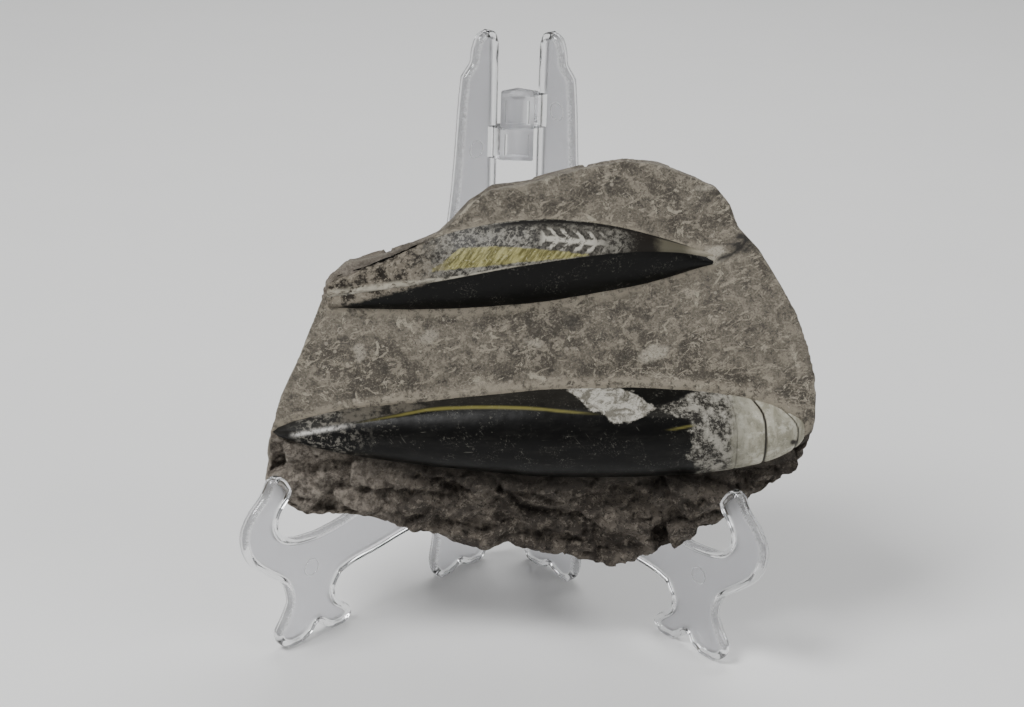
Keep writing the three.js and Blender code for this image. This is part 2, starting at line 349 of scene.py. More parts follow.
colour = paint.mix(
    paint.times(smear, paint.step(paint.noise(0.35, 7, 0.7), 0.40, 0.56)),
    colour, (0.095, 0.085, 0.068))
# the painted crest highlight, broken by noise, laid on as a pale streak
streak = paint.step(paint.noise(0.8, 6, 0.8), 0.38, 0.54, (0.15, 1.0))
colour = paint.mix(paint.times(paint.mark("crest_highlight"), streak), colour, (0.62, 0.60, 0.56))
stripe = paint.times(paint.mark("stripe"), paint.step(wisps, 0.2, 0.6, (0.65, 1.0)))
colour = paint.laid(
    colour, paint.mix(stripe, (0.045, 0.041, 0.018), (0.165, 0.148, 0.040)), stripe, 0.05, 0.7)
cloud = paint.step(paint.plus(paint.mark("cloud"), paint.times(edge_noise, 1.8)), -1.0, 1.0)
cloud_tone = paint.mix(
    paint.step(paint.noise(0.30, 7, 0.75), 0.44, 0.60), (0.022, 0.020, 0.017), (0.30, 0.285, 0.245))
cloud_tone = paint.laid(cloud_tone, (0.40, 0.38, 0.33), paint.noise(1.0, 7, 0.8), 0.52, 0.60, 0.6)
colour = paint.mix(cloud, colour, cloud_tone)
chamber_tone = paint.mix(
    paint.step(paint.noise(1.0, 6, 0.7, paint.stretched((4, 9, 9), 8), 0.6), 0.40, 0.60),
    (0.27, 0.255, 0.195), (0.43, 0.41, 0.33))
chamber_tone = paint.laid(
    chamber_tone, (0.62, 0.60, 0.51), paint.noise(0.35, 7, 0.75), 0.50, 0.64, 0.6)
chamber_tone = paint.laid(
    chamber_tone, (0.13, 0.12, 0.09), paint.noise(0.8, 6, 0.75), 0.46, 0.38, 0.45)
chamber_tone = paint.laid(
    chamber_tone, (0.16, 0.155, 0.125), paint.plus(reach, edge_noise), 61, 58, 0.45)
colour = paint.laid(colour, chamber_tone, paint.plus(paint.mark("chamber"), edge_noise), -2.4, 1.2)
wedge = paint.step(paint.plus(paint.mark("wedge"), paint.times(edge_noise, 0.45)), -0.3, 0.7)
colour = paint.mix(wedge, colour, (0.004, 0.004, 0.0035))
patch = paint.step(paint.plus(paint.mark("patch"), paint.times(edge_noise, 0.8)), -0.3, 0.5)
patch_tone = paint.mix(
    paint.step(paint.noise(0.30, 7, 0.75, distort=0.8), 0.42, 0.58), (0.15, 0.14, 0.115),
    (0.46, 0.44, 0.385))
patch_tone = paint.laid(patch_tone, (0.10, 0.094, 0.078), paint.noise(1.1, 6, 0.8), 0.47, 0.40, 0.6)
veins = paint.away(paint.noise(0.16, 3, 0.6, distort=1.0), 0.5)
patch_tone = paint.laid(patch_tone, (0.05, 0.045, 0.036), veins, 0.012, 0.003, 0.7)
colour = paint.mix(patch, colour, patch_tone)
specks = paint.times(
    paint.step(paint.cells(0.8), 0.16, 0.04), paint.step(paint.noise(0.25), 0.54, 0.62))
bloom = paint.times(
    paint.step(paint.noise(1.5, 6, 0.85), 0.55, 0.63), paint.step(paint.noise(0.20, 5), 0.47, 0.62))
colour = paint.mix(paint.times(paint.larger(specks, bloom), 0.34), colour, (0.26, 0.25, 0.215))
for turn, spread, amount in ((4, (12, 0.45, 0.45), 0.20), (-52, (6, 0.4, 0.4), 0.14)):
    scratches = paint.times(
        paint.step(paint.noise(1.0, 2, 0.5, paint.stretched(spread, turn)), 0.68, 0.74),
        paint.step(paint.noise(0.15, 3), 0.48, 0.56, (0.0, amount)))
    colour = paint.mix(scratches, colour, (0.30, 0.29, 0.25))
colour = paint.laid(colour, (0.026, 0.022, 0.017), paint.mark("groove"), 0.06, 0.32)
pale = paint.larger(paint.larger(cloud, patch), apex)
lower_material = paint.finish(
    base_color=colour,
    roughness=paint.plus(paint.step(pale, 0, 1, (0.28, 0.44)), paint.times(fine, 0.2)),
    normal=paint.bump(paint.noise(0.9, 6, 0.7), 0.06, 0.6),
    specular_ior_level=0.16,
)
shell = piece("lower_shell", bm, lower_material)
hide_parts("orthoceras_lower")
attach(shell, "display")

# ---- upper shell --------------------------------------------------------------------------------
# A second shell, ground to two facets that meet in a ridge: black below it, grey above, where the
# cut shows an olive lens and white septa. Its left end was never ground and is still rough rock.

upper_start, upper_length = -46.6, 97.2
upper_ridge = [
    [(-46.6, 56.0), (-22, 60.6), (2.4, 66.0), (25.5, 69.8), (40, 70.2), (50.6, 68.6)],
    [(-46.6, 17.4), (-22, 20.8), (2.4, 22.8), (25.5, 22.2), (40, 19.8), (50.6, 16.4)],
]
upper_foot = [
    [(-46.6, 53.4), (-27, 53.2), (-4, 54.4), (20, 58.2), (37, 62.6), (50.6, 67.6)],
    [(-46.6, 16.0), (-27, 15.8), (20, 15.8), (50.6, 16.0)],
]
upper_head = [
    [(-46.6, 60.0), (-34, 65.0), (-18, 72.2), (-4, 75.9), (10, 77.2), (24, 76.1), (37, 73.3),
     (50.6, 69.4)],
    [(-46.6, 16.4), (-30, 17.2), (10, 17.8), (40, 17.4), (50.6, 16.6)],
]
upper_belly = [
    [(-46.6, 56.0), (-34, 58.2), (0, 65.2), (38, 68.6), (50.6, 68.6)],
    [(-46.6, 14.6), (-34, 11.6), (0, 8.4), (38, 11.8), (50.6, 15.2)],
]
lens_top = [(-20, 64.2), (-16.6, 66.4), (-13.5, 69.3), (-10.8, 69.9), (-2.9, 70.3), (8.9, 69.8),
            (19, 68.9)]
lens_foot = [(-20, 63.4), (-17.7, 63.8), (-5.5, 65.3), (6.8, 66.9), (14, 67.7), (19, 68.8)]
spine = [(4, 73.2), (8.8, 72.6), (19.7, 71.9), (30, 71.6)]

bm = bmesh.new()
bmesh.ops.create_uvsphere(bm, u_segments=160, v_segments=250, radius=1)
shade = marks(bm, ["facet", "raw", "lens", "septa", "reach", "rim"])
for v in bm.verts:
    x = upper_start + upper_length * (1 - acos(min(max(v.co.z, -1), 1)) / pi)
    corners = [
        Vector((x, along(line[0], x), along(line[1], x)))
        for line in (upper_head, upper_ridge, upper_foot, upper_belly)
    ]
    turn = (atan2(v.co.y, v.co.x) / (pi / 2)) % 4
    start, end = corners[int(turn) % 4], corners[(int(turn) + 1) % 4]
    part = turn - int(turn)
    middle = sum(corners, Vector()) / 4
    close = min(1, 26 * (v.co.x ** 2 + v.co.y ** 2) ** 0.5)
    co = middle.lerp(start.lerp(end, part), close)
    crown = Vector((0, 0.35, 1)) if turn < 1 else Vector((0, -0.8, 1))
    if turn < 2:
        co += crown * (4 * part * (1 - part)) * 0.8 * close
    y = co.y - climb * (co.z - 20)
    over = y - (along(upper_ridge[0], x) - climb * (along(upper_ridge[1], x) - 20))
    raw = (1 - ramp(x, -27, -12)) * ramp(over, -0.4, 0.8)
    co += Vector((0, 0.3, 1)) * raw * (
        1.3 * noise.fractal(co * 0.16, 0.8, 2.1, 5) + 0.25
    ) * close * (1 if turn > 1 else ramp(part, 0.05, 0.35))
    co.z += 0.12 * noise.noise(co * 0.2) + 0.05 * noise.noise(co * 0.8)
    v.co = co
    v[shade["facet"]] = over if turn < 2 else -5
    v[shade["raw"]] = raw
    inside = min(along(lens_top, x) - y, y - along(lens_foot, x))
    v[shade["lens"]] = inside if -20 < x < 19 else -5
    v[shade["septa"]] = y - along(spine, x)
    v[shade["reach"]] = x
    # rim runs from 0 at the shell's top edge; a painted shadow line follows it
    v[shade["rim"]] = part if turn < 1 else 1
bm.normal_update()
bmesh.ops.recalc_face_normals(bm, faces=bm.faces)
upper_tree = BVHTree.FromBMesh(bm)
bm.transform(slab_frame)

paint = Paint("polished_upper_shell", slab_origin, slab_turn)
reach = paint.mark("reach")
over = paint.mark("facet")
wobble = paint.times(paint.math("SUBTRACT", paint.noise(0.6, 6, 0.7), 0.5), 4.0)
fine = paint.noise(1.3, 6, 0.75)
speckled = paint.mix(
    paint.step(paint.noise(0.8, 7, 0.8), 0.45, 0.57), (0.026, 0.024, 0.021), (0.21, 0.20, 0.172))
speckled = paint.laid(
    speckled, (0.34, 0.32, 0.275), paint.noise(1.0, 5, 0.7, paint.stretched((0.7, 4.0, 4.0), -35)),
    0.56, 0.64, 0.6)
raw_tone = paint.mix(
    paint.step(paint.noise(0.35, 7, 0.75), 0.43, 0.58), (0.024, 0.020, 0.016), (0.20, 0.175, 0.138))
raw_tone = paint.laid(raw_tone, (0.36, 0.325, 0.26), fine, 0.55, 0.63, 0.6)
rays = paint.noise(1.0, 6, 0.7, paint.stretched((0.55, 4.0, 4.0), -38))
lens_tone = paint.mix(paint.step(rays, 0.40, 0.62), (0.100, 0.090, 0.030), (0.330, 0.305, 0.130))
lens_tone = paint.laid(lens_tone, (0.50, 0.47, 0.30), fine, 0.56, 0.64, 0.5)
black = paint.mix(paint.step(fine, 0.62, 0.76), (0.0025, 0.0024, 0.0021), (0.020, 0.019, 0.016))
colour = paint.mix(paint.step(paint.plus(reach, wobble), 24, 31), speckled, (0.014, 0.012, 0.010))
tip = paint.mix(
    paint.step(paint.plus(reach, wobble), 41, 47), (0.095, 0.087, 0.063), (0.30, 0.27, 0.21))
colour = paint.laid(colour, tip, paint.plus(reach, wobble), 34, 37.5)
rib = paint.math("ABSOLUTE", paint.mark("septa"))
chevron = paint.plus(paint.plus(reach, paint.times(rib, 0.9)), paint.times(wobble, 0.6))
chevron = paint.math("FRACT", paint.math("DIVIDE", chevron, 3.2))
chevron = paint.step(paint.away(chevron, 0.5), 0.25, 0.10)
chevron = paint.times(chevron, paint.step(rib, 3.2, 2.0))
chevron = paint.larger(chevron, paint.step(paint.plus(rib, paint.times(wobble, 0.25)), 0.9, 0.4))
chevron = paint.times(chevron, paint.times(paint.step(reach, 6, 8), paint.step(reach, 25, 18)))
chevron = paint.times(chevron, paint.step(paint.noise(0.8, 5, 0.7), 0.34, 0.5))
hollow = paint.times(
    paint.step(rib, 4.6, 3.0),
    paint.times(paint.step(reach, 4, 8), paint.step(reach, 28, 20, (0.0, 0.75))))
colour = paint.mix(
    hollow, colour,
    paint.mix(paint.step(fine, 0.5, 0.62), (0.030, 0.027, 0.023), (0.11, 0.10, 0.085)))
colour = paint.mix(chevron, colour, (0.42, 0.40, 0.345))
# painted shadow: a dark line along the shell's top edge, right of the raw end
colour = paint.mix(
    paint.times(paint.step(paint.mark("rim"), 0.20, 0.06), paint.step(reach, -14, 0)),
    colour, (0.010, 0.009, 0.008))
colour = paint.laid(
    colour, lens_tone, paint.plus(paint.mark("lens"), paint.times(wobble, 0.35)), -0.15, 0.35)
colour = paint.mix(paint.mark("raw"), colour, raw_tone)
worn = paint.math("SUBTRACT", over, paint.step(reach, -10, -30, (0.1, 0.8)))
worn = paint.step(paint.math("ABSOLUTE", worn), paint.step(reach, -10, -30, (0.35, 1.3)), 0.1)
worn = paint.times(
    worn, paint.step(paint.noise(0.7, 6, 0.7, paint.stretched((2.5, 1, 1), 10)), 0.40, 0.52))
colour = paint.mix(
    paint.times(worn, paint.step(reach, 24, -20, (0.0, 0.9))), colour, (0.40, 0.37, 0.30))
lower_face = paint.step(over, 0.05, -0.2)
colour = paint.mix(lower_face, colour, black)
tan = paint.step(paint.math("SUBTRACT", paint.plus(over, paint.times(wobble, 0.35)),
                            paint.times(paint.plus(reach, 22), 0.12)), -0.9, 0.1)
colour = paint.mix(
    paint.times(paint.times(tan, lower_face), paint.step(reach, -19, -24)),
    colour, raw_tone)
bloom = paint.times(
    paint.step(paint.noise(1.5, 6, 0.85), 0.55, 0.63), paint.step(paint.noise(0.22, 5), 0.46, 0.60))
specks = paint.times(
    paint.step(paint.cells(0.7), 0.15, 0.04), paint.step(paint.noise(0.25), 0.52, 0.6))
colour = paint.mix(paint.times(paint.larger(specks, bloom), 0.35), colour, (0.26, 0.25, 0.21))
raw = paint.mark("raw")
upper_material = paint.finish(
    base_color=colour,
    roughness=paint.plus(paint.step(raw, 0, 1, (0.30, 0.75)), paint.times(fine, 0.14)),
    normal=paint.bump(paint.noise(0.8, 7, 0.75), 0.22, paint.step(raw, 0, 1, (0.22, 1.0))),
    specular_ior_level=0.16,
)
shell = piece("upper_shell", bm, upper_material, crease=32)
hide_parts("orthoceras_upper")
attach(shell, "display")

# ---- slab ---------------------------------------------------------------------------------------
# Dark fossil-rich limestone. Its face is ground flat, with coves that rise to the shells; the
# band below the lower shell, the edges and the back are raw chipped breaks.

slab_outline = [
    (-61.4, 8.0), (-58.6, 3.6), (-54.5, 0.6), (-46, -0.8), (-38, -0.4), (-32, -0.9), (-24, -2.6),
    (-14, -4.4), (-5, -6.4), (1, -5.2), (8, -7.4), (15, -7.6), (22, -9.9), (27, -10.6), (35, -9.4),
    (44, -7.2), (51, -4.4), (56, 1.6), (62.6, 7.2), (68.3, 9.6), (72.6, 14.0), (76.0, 20.7),
    (77.0, 30.0), (76.7, 38.8), (74.4, 47.0), (71.0, 55.4), (66.6, 62.6), (61.0, 71.0),
    (55.6, 76.4), (53.2, 82.2), (49.6, 86.2), (42.3, 89.1), (35.4, 91.4), (27.0, 92.2), (16, 89.7),
    (3, 85.7), (-6, 83.9), (-11.4, 80.2), (-16.0, 75.0), (-19.4, 71.6), (-26, 68.8), (-34.6, 66.3),
    (-41.6, 64.8), (-45.0, 61.4), (-47.6, 54.3), (-52.6, 41.0), (-57.4, 29.8), (-60.0, 20.0),
]
slab_breaks = [
    ((0, 0, 0), (0, -0.024, -1)),
    ((0, 12.5, 16), (0.02, -0.26, 1)),
    ((-40, 13.5, 16), (-0.05, -0.17, 1)),
    ((58, 15.5, 16), (0.35, -0.55, 1)),
    ((38, -0.7, 0), (0.25, -1, -0.62)),
    ((44, -3.6, 5), (0.26, -1, -0.25)),
    ((0, -5.0, 0), (0, -1, -0.45)),
    ((0, 88, -2), (0.10, 0.60, -1)),
    ((-40, 58, -1), (-0.62, 0.45, -1)),
    ((-58, 20, 0), (-0.80, -0.10, -1)),
    ((70, 40, 0), (0.75, 0.08, -1)),
    ((58, 70, 0), (0.60, 0.50, -1)),
    ((62, 10, 0), (0.50, -0.50, -1)),
]
raw_edge = [(-62, 21.6), (-49, 20.0), (-36, 17.6), (-22, 16.0), (0, 15.0), (30, 14.6), (44, 15.6),
            (54, 17.4), (62, 18.4), (70, 21.5), (78, 26.0)]


def block(outline, bottom, top):
    """An upright block over an outline in the XY plane."""
    bm = bmesh.new()
    face = bm.faces.new([bm.verts.new((x, y, bottom)) for x, y in outline])
    raised = bmesh.ops.extrude_face_region(bm, geom=[face])["geom"]
    rise = [g for g in raised if isinstance(g, bmesh.types.BMVert)]
    bmesh.ops.translate(bm, vec=(0, 0, top - bottom), verts=rise)
    bmesh.ops.recalc_face_normals(bm, faces=bm.faces)
    return bm


def clearance(tree, point):
    """How far a point lies from a shell; zero if the shell covers it."""
    covered = tree.ray_cast(point, (0, 0, 1))[0] is not None
    return 0 if covered else tree.find_nearest(point)[3]


noise.seed_set(1795147725)      # one fixed pattern of chips; unseeded, it would differ on each run


def facets(co, size):
    """The height of a break made of flat chips of about this size, each tilted its own way."""
    place = (co + 0.28 * size * noise.noise_vector(co * 1.1 / size)) / size
    seed = noise.voronoi(place)[1][0]
    return size * (place - seed).dot(noise.cell_vector(seed * 9.7) - Vector((0.5, 0.5, 0.5)))


def spot(co, x, y, long, wide, turn=0):
    """One inside an uneven oval about (x, y), falling to zero around it."""
    off = Matrix.Rotation(radians(-turn), 2) @ (co.xy - Vector((x, y)))
    far = Vector((off.x / long, off.y / wide)).length
    return ramp(far + 0.5 * noise.noise(co * 0.6), 1.25, 0.8)


bm = block(slab_outline, -3, 16)
for point, outward in slab_breaks:
    cut = bmesh.ops.bisect_plane(
        bm, geom=[*bm.verts, *bm.edges, *bm.faces], plane_co=point, plane_no=outward,
        clear_outer=True)
    rim = [e for e in cut["geom_cut"] if isinstance(e, bmesh.types.BMEdge)]
    bmesh.ops.holes_fill(bm, edges=rim)
blank = piece("slab_blank", bm)
remesh = blank.modifiers.new("remesh", "REMESH")
remesh.mode = "VOXEL"
remesh.voxel_size = 0.64
bpy.context.view_layer.update()
bm = bmesh.new()
bm.from_mesh(blank.evaluated_get(bpy.context.evaluated_depsgraph_get()).to_mesh())
bpy.data.objects.remove(blank)

bmesh.ops.smooth_vert(
    bm, verts=bm.verts, factor=0.5, use_axis_x=True, use_axis_y=True, use_axis_z=True)
bm.normal_update()
shade = marks(bm, ["raw", "shoulder", "cove", "rim", "crack", "dark", "pale"])
crack_line = [Vector((50.4, 68.2)), Vector((54.2, 69.6)), Vector((57.2, 72.0))]
moves = []
for v in bm.verts:
    co = v.co.copy()

    # where the face was ground, where it is a raw break, and how near a shell is
    beyond = co.y - along(raw_edge, co.x)
    near = min(clearance(lower_tree, co), clearance(upper_tree, co))
    ground = ramp(co.z, 14.9, 15.6) * ramp(beyond + 2.0 * noise.noise(co * 0.2), -1.0, 0.6)
    shoulder = ramp(co.x, -17, -24) * ramp(co.y - along([(-50, 53), (-15, 66)], co.x), 0, 2)
    raw = 1 - ground * (1 - shoulder)
    front = ramp(v.normal.z, 0.4, 0.9)

    # chips, deepest on the front; the lower lip hangs out, the back and edges only lose rock
    bed = Vector((co.x * 0.62 + co.y * 0.2, co.y, co.z))
    break_up = (
        1.1 * facets(bed, 9.0) + 1.1 * facets(bed, 4.0) + 0.7 * facets(co, 2.0)
        + 1.3 * noise.fractal(co * 0.055, 0.8, 2.2, 5) - 0.9 * abs(noise.noise(co * 0.33))
    )
    facing = ramp(v.normal.z, 0.6, 0.95)
    lip = ramp(co.x, -32, -20) * ramp(co.x, 45, 36) * ramp(-v.normal.y, 0.2, 0.5) * ramp(co.z, 2, 7)
    break_up = facing * break_up + (1 - facing) * (1 - lip) * min(break_up - 1.6, 0)
    worn = ramp(co.y, 36, 60) * (1 - front) * (0.45 + 0.55 * ramp(co.x, -26, -16))
    break_up += lip * (
        1.1 + 0.8 * ramp(co.x, 5, 25) + 0.9 * facets(bed, 5.0) + 0.6 * facets(co, 2.4))
    depth = 0.35 + 0.65 * max(front, lip) - 0.2 * worn
    depth *= 1 - 0.95 * ramp(upper_tree.find_nearest(co)[3], 6, 3) * ramp(co.x, -12, -20)

    # coves that rise to the shells, slow waves, dents and shell debris on the ground face
    shelf = ramp(near, 3.0, 0.6) * ramp(beyond, -6, -1)
    above = ramp(co.y, 27, 31) * (1 - ramp(co.y, 46, 52)) + ramp(co.y - 59 - 0.12 * co.x, 0, 6)
    cove = (0.5 + 1.1 * above) * ramp(near, 3.6, 0.0) ** 2 * ramp(co.x, -56, -44)
    wave = 0.22 * noise.noise(co * 0.07) + 0.05 * noise.fractal(co * 0.5, 0.9, 2, 3)
    dents = -0.45 * ramp(noise.noise(co * 0.16 + Vector((9, 2, 4))), 0.42, 0.60)
    fragments = max(
        0.8 * spot(co, 36.1, 44.6, 4.0, 1.7, 26), 0.6 * spot(co, -37.4, 42.4, 1.5, 2.6),
        0.5 * spot(co, -20.0, 47.2, 2.4, 1.6, 40), 0.5 * spot(co, 6.0, 46.0, 2.2, 0.9, -20),
        0.5 * spot(co, 47.0, 86.0, 2.6, 0.9, 8))
    hollow = spot(co, 14.7, 52.2, 2.7, 1.3, -28)
    dents += 0.16 * fragments - 0.55 * hollow
    moves.append(v.normal * (
        raw * (1 - 0.75 * shelf) * depth * break_up + ground * front * (cove + wave + dents)
    ))

    # a crack and a dark stain run from the upper shell's point to the edge
    along_crack = min(
        (co.xy - a).length + (co.xy - b).length - (a - b).length
        for a, b in zip(crack_line, crack_line[1:])
    )
    crack = exp(-along_crack / 0.22)
    moves[-1] -= Vector((0, 0, 0.5 * crack))
    stain = (
        0.9 * spot(co, 57.8, 73.2, 3.2, 2.0, 30)
        * ramp(noise.fractal(co * 0.8, 0.8, 2, 4), -0.7, -0.1) * front
    )

    v[shade["raw"]] = raw * (1 - 0.8 * worn * ramp(v.normal.y, 0.1, 0.6))
    # painted shadow: the raw band close under the lower shell is marked for darkening
    v[shade["dark"]] = ramp(near, 5.5, 0.8) * ramp(co.z, 7, 10) * ramp(co.x, -50, -12) * raw
    v[shade["shoulder"]] = shoulder
    v[shade["cove"]] = near
    # painted highlight: a pale band on the edge faces just behind the front face
    v[shade["rim"]] = ramp(co.z, 13.4, 14.6) * (1 - front)
    v[shade["crack"]] = max(crack, stain, 0.6 * hollow * ground)
    # pale: shell debris, and beside the upper shell's point a painted glint
    v[shade["pale"]] = ground * max(spot(co, 49.8, 69.4, 2.8, 2.0, 20), fragments)
for v, move in zip(bm.verts, moves):
    v.co += move
for _ in range(2):
    bmesh.ops.smooth_vert(
        bm, verts=[v for v in bm.verts if v.normal.z < 0.8 and v.co.y < 50], factor=0.4,
        use_axis_x=True, use_axis_y=True, use_axis_z=True)
bm.transform(slab_frame)

paint = Paint("limestone", slab_origin, slab_turn)
raw = paint.mark("raw")
cloudy = paint.noise(0.055, 6, 0.62, distort=0.8)
grain = paint.noise(1.8, 6, 0.8)
mottle = paint.noise(0.30, 7, 0.72, distort=0.5)
ground_tone = paint.mix(
    paint.step(cloudy, 0.44, 0.56), (0.080, 0.068, 0.051), (0.155, 0.135, 0.104))
ground_tone = paint.laid(ground_tone, (0.270, 0.238, 0.185), mottle, 0.51, 0.59, 0.85)
ground_tone = paint.laid(ground_tone, (0.042, 0.036, 0.028), mottle, 0.47, 0.38, 0.7)
debris = paint.noise(1.0, 5, 0.65, paint.stretched((4.2, 1.9, 2.4), 24), 1.3)
ground_tone = paint.laid(ground_tone, (0.36, 0.32, 0.248), debris, 0.57, 0.62, 0.8)
lines = paint.away(paint.noise(0.16, 3, 0.6, distort=1.5), 0.5)
ground_tone = paint.mix(
    paint.times(paint.step(lines, 0.014, 0.004), paint.step(paint.noise(0.10, 3), 0.54, 0.60)),
    ground_tone, (0.38, 0.34, 0.27))
ground_tone = paint.mix(
    paint.times(
        paint.step(lines, 0.009, 0.003), paint.step(paint.noise(0.10, 3), 0.47, 0.42, (0.0, 0.8))),
    ground_tone, (0.022, 0.018, 0.014))
flecks = paint.times(
    paint.step(paint.cells(0.33), 0.20, 0.10), paint.step(paint.noise(0.12), 0.50, 0.62))
ground_tone = paint.mix(flecks, ground_tone, (0.30, 0.27, 0.215))
blotches = paint.step(paint.noise(0.20, 6, 0.7, distort=0.8), 0.595, 0.64, (0.0, 0.85))
ground_tone = paint.mix(blotches, ground_tone, (0.42, 0.38, 0.295))
ground_tone = paint.laid(ground_tone, (0.33, 0.295, 0.23), grain, 0.53, 0.61, 0.55)
ground_tone = paint.laid(ground_tone, (0.024, 0.020, 0.015), grain, 0.47, 0.40, 0.55)
dust = paint.times(
    paint.step(paint.mark("cove"), 2.6, 0.3), paint.step(paint.noise(0.5, 6, 0.75), 0.42, 0.56))
ground_tone = paint.mix(dust, ground_tone, (0.29, 0.255, 0.195))
raw_tone = paint.mix(
    paint.step(paint.noise(0.13, 7, 0.75, distort=0.2), 0.44, 0.56), (0.066, 0.054, 0.043),
    (0.150, 0.127, 0.102))
raw_tone = paint.laid(raw_tone, (0.30, 0.26, 0.21), paint.noise(0.5, 7, 0.8), 0.52, 0.60, 0.8)
raw_tone = paint.laid(raw_tone, (0.020, 0.016, 0.012), paint.noise(0.9, 6, 0.8), 0.47, 0.40, 0.85)
reach = paint.across()
# painted light: the raw band is painted lighter towards its left end, where more light falls
raw_tone = paint.laid(
    raw_tone,
    paint.mix(
        paint.step(paint.noise(0.6, 7, 0.8), 0.42, 0.58), (0.12, 0.100, 0.080), (0.42, 0.37, 0.31)),
    reach, -18, -48, 0.75)
# painted shadow under the lower shell
raw_tone = paint.mix(paint.times(paint.mark("dark"), 0.7), raw_tone, (0.030, 0.024, 0.018))
raw_tone = paint.mix(paint.times(paint.mark("shoulder"), 0.3), raw_tone, (0.20, 0.175, 0.14))
colour = paint.mix(raw, ground_tone, raw_tone)
# painted highlight along the slab's front edges
colour = paint.mix(paint.times(paint.mark("rim"), 0.6), colour, (0.20, 0.18, 0.14))
# pale shell debris and the painted glint
colour = paint.mix(
    paint.times(paint.mark("pale"), paint.step(grain, 0.36, 0.52)), colour, (0.46, 0.42, 0.34))
colour = paint.mix(paint.mark("crack"), colour, (0.014, 0.012, 0.010))
relief = paint.bump(paint.noise(0.6, 8, 0.8), 1.6, paint.step(raw, 0, 1, (0.6, 0.9)))
relief = paint.bump(grain, 0.16, 0.7, relief)
slab_material = paint.finish(
    base_color=colour,
    roughness=paint.plus(paint.step(raw, 0, 1, (0.60, 0.82)), paint.times(grain, 0.15)),
    normal=relief,
)
slab = piece("limestone_slab", bm, slab_material)
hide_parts("limestone_matrix")
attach(slab, "display")

# ---- easel halves -------------------------------------------------------------------------------
# Two mirrored plates moulded in clear plastic. A glossy rounded rim frames a frosted panel sunk
# on both faces; stacked knuckles behind the uprights turn on a moulded peg.

plate_thickness = 3.0
rim_steps = ((0.3, 0.5), (0.35, 0.28), (0.5, 0.12), (0.5, 0.0), (0.35, -0.25), (0.3, -0.3))
open_angle = radians(86)
hinge_offset, hinge_setback = 4.1, 2.4               # hinge axis from the inner face and rear edge
plate_spread = hinge_offset * cos(open_angle / 2) + hinge_setback * sin(open_angle / 2)

plate_runs = [
    [(0, 5), (0.5, 2.2), (1.6, 0.6), (3.2, 0)],
    [(6.4, 0), (8.6, 0.7), (10.4, 1.8), (12.4, 0.8), (14.8, 0)],
    [(17.8, 0), (20.0, 2.2), (21.0, 6.0), (20.4, 9.8), (19.8, 13.2)],
    [(19.8, 13.2), (21.6, 16.8), (26.6, 18.9), (34.0, 18.4), (42.0, 17.3), (50.0, 16.6),
     (54.6, 15.4)],
    [(54.6, 15.4), (56.7, 12.0), (55.8, 8.3), (52.6, 5.6), (50.9, 2.6), (53.4, 0)],
    [(57.6, 0), (60.4, 1.7), (62.8, 3.7), (64.8, 1.6), (68.0, 0)],
    [(72.2, 0), (75.2, 1.9), (76.4, 5.2), (74.0, 8.9), (71.9, 12.8)],
    [(71.9, 12.8), (73.6, 18.6), (79.4, 23.4), (84.4, 28.2), (86.8, 33.6), (86.5, 38.6),
     (83.6, 42.8)],
    [(83.6, 42.8), (80.0, 45.9), (78.0, 49.2), (75.4, 50.0), (72.9, 48.3), (71.0, 45.2)],
    [(71.0, 45.2), (71.8, 42.9), (74.8, 39.8), (75.6, 36.0), (73.6, 32.8), (69.4, 30.8),
     (62.0, 30.0)],
    [(62.0, 30.0), (55.0, 30.6), (50.6, 31.5), (48.2, 32.1), (44.6, 34.9), (38.0, 43.2),
     (28.6, 60.0)],
    [(28.6, 60.0), (20.6, 82.0), (15.8, 104.0), (14.0, 119.0), (13.0, 132.0), (12.0, 140.4)],
    [(12.0, 140.4), (10.4, 142.0), (8.9, 143.6), (8.4, 146.8), (6.8, 150.0), (3.9, 151.2)],
    [(3.9, 151.2), (1.2, 150.0), (0, 146.6)],
]


def curve_through(points, steps=5):
    """Points along a smooth curve through the given ones."""
    ends = [points[0], *points, points[-1]]
    line = []
    for a, b, c, d in zip(ends, ends[1:], ends[2:], ends[3:]):
        for k in range(steps):
            f = k / steps
            line.append(tuple(
                0.5 * (2 * q + (r - p) * f + (2 * p - 5 * q + 4 * r - s) * f ** 2
                       + (3 * q - p - 3 * r + s) * f ** 3)
                for p, q, r, s in zip(a, b, c, d)
            ))
    return line + [points[-1]]


def plate_mesh():
    """A plate with x forward, y up and its inner face at z = 0; its panels are frosted."""
    line = []
    for run in plate_runs:
        line += [
            p for p in curve_through(run)
            if not line or (Vector(p) - Vector(line[-1])).length > 0.05
        ]
    bm = block(line, 0.9, plate_thickness - 0.9)
    # each side is drawn in over the rounded rim and then down to the sunk panel
    for width, rise in rim_steps:
        sides = [f for f in bm.faces if len(f.verts) > 99]
        bmesh.ops.inset_region(bm, faces=sides, thickness=width, depth=rise)
        ring = list({v for f in sides for v in f.verts})
        bmesh.ops.smooth_vert(bm, verts=ring, factor=0.4, use_axis_x=True, use_axis_y=True)
        bmesh.ops.remove_doubles(bm, verts=ring, dist=0.22)
    for f in bm.faces:
        f.material_index = 1 if len(f.verts) > 99 else 0
    return bm


def knuckle_mesh(bottom, top):
    """A block about the hinge axis with a flat front, a sunk window and a ridged back."""
    bm = block(((-4.3, -3.6), (4.3, -3.6), (4.3, 1.2), (0, 4.4), (-4.3, 1.2)), bottom, top)
    bmesh.ops.bevel(
        bm, geom=bm.edges, offset=0.4, segments=2, profile=0.5, affect="EDGES", material=-1)
    front = [f for f in bm.faces if f.normal.y < -0.99]
    bmesh.ops.inset_region(bm, faces=front, thickness=1.1)
    bmesh.ops.inset_region(bm, faces=front, thickness=0.3, depth=-1.0)
    for f in bm.faces:
        f.material_index = 1
    return bm


